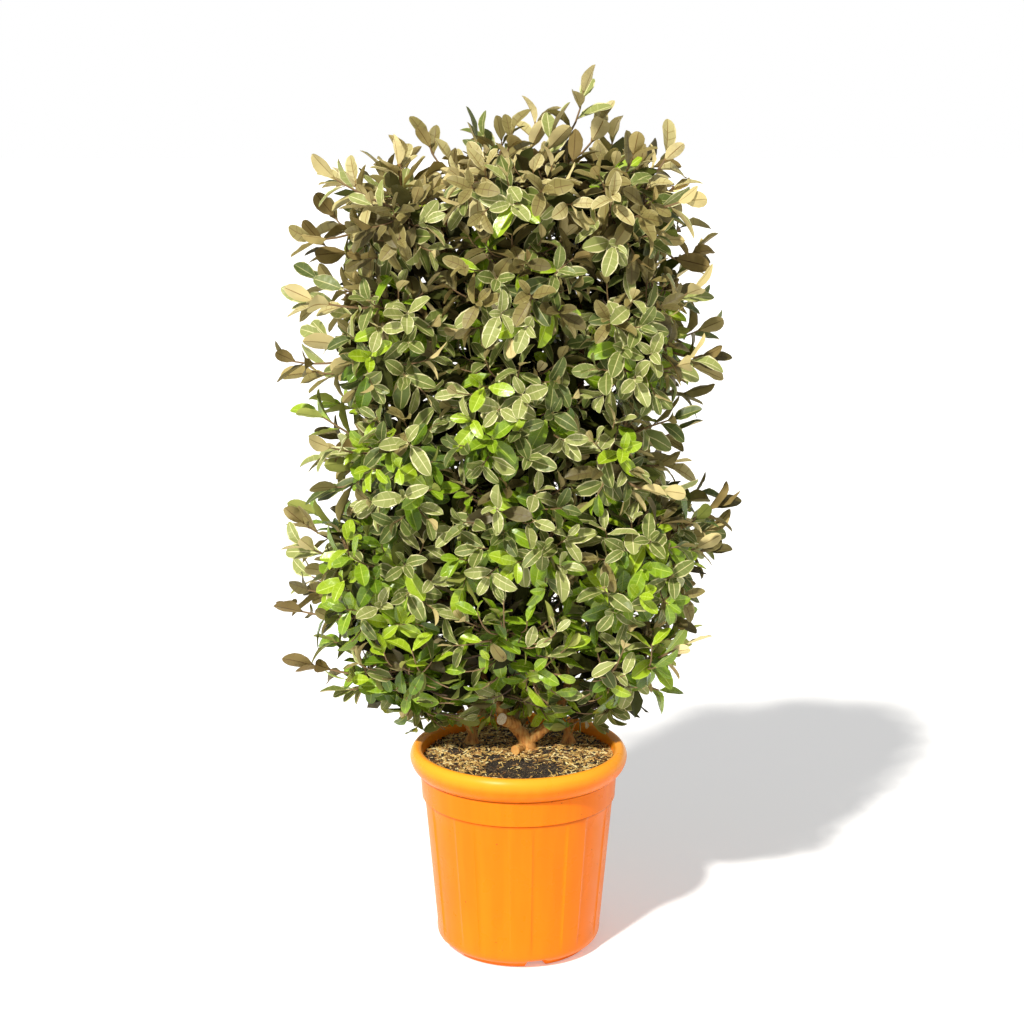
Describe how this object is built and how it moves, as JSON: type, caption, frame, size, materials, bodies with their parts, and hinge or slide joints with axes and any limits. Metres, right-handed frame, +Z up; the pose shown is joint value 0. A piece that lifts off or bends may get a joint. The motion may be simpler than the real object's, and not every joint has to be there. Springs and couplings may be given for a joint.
{
  "type": "potted elaeagnus",
  "caption": "Evergreen elaeagnus shrub trained as an upright leafy panel in a round fluted nursery pot.",
  "frame": {"origin": "middle of the flat pad under the pot, level with the feet that the pot stands on", "axes": "+Z up along the pot's axis, +X to the right across the leafy panel seen from its front, -Y towards the front"},
  "size_m": [0.8411, 0.5107, 1.6147],
  "materials": {
    "orange_plastic": "satin moulded plastic",
    "compost": "rough dark compost with pale wood chips",
    "bark": "fine fissured orange-brown bark",
    "leaf_fresh": "glossy fresh green leaves",
    "leaf_silver": "satin silver-green leaves with pale edges",
    "leaf_olive": "scaly bronze-olive leaves"
  },
  "bodies": {
    "root": {"pot": "orange_plastic", "soil": "compost", "trunk": "bark", "stem_right": "bark", "stem_side_left": "bark", "stem_side_right": "bark", "bough_left_low": "bark", "bough_left_waist": "bark", "bough_left_high": "bark", "bough_left_top": "bark", "bough_right_low": "bark", "bough_right_waist": "bark", "bough_right_high": "bark", "bough_right_top": "bark", "left_skirt": "leaf_fresh", "left_low": "leaf_fresh", "left_waist": "leaf_silver", "left_high": "leaf_silver", "left_top": "leaf_olive", "middle_skirt": "leaf_fresh", "middle_low": "leaf_fresh", "middle_waist": "leaf_silver", "middle_high": "leaf_silver", "middle_top": "leaf_olive", "right_skirt": "leaf_fresh", "right_low": "leaf_fresh", "right_waist": "leaf_silver", "right_high": "leaf_silver", "right_top": "leaf_olive"}
  },
  "joints": []
}
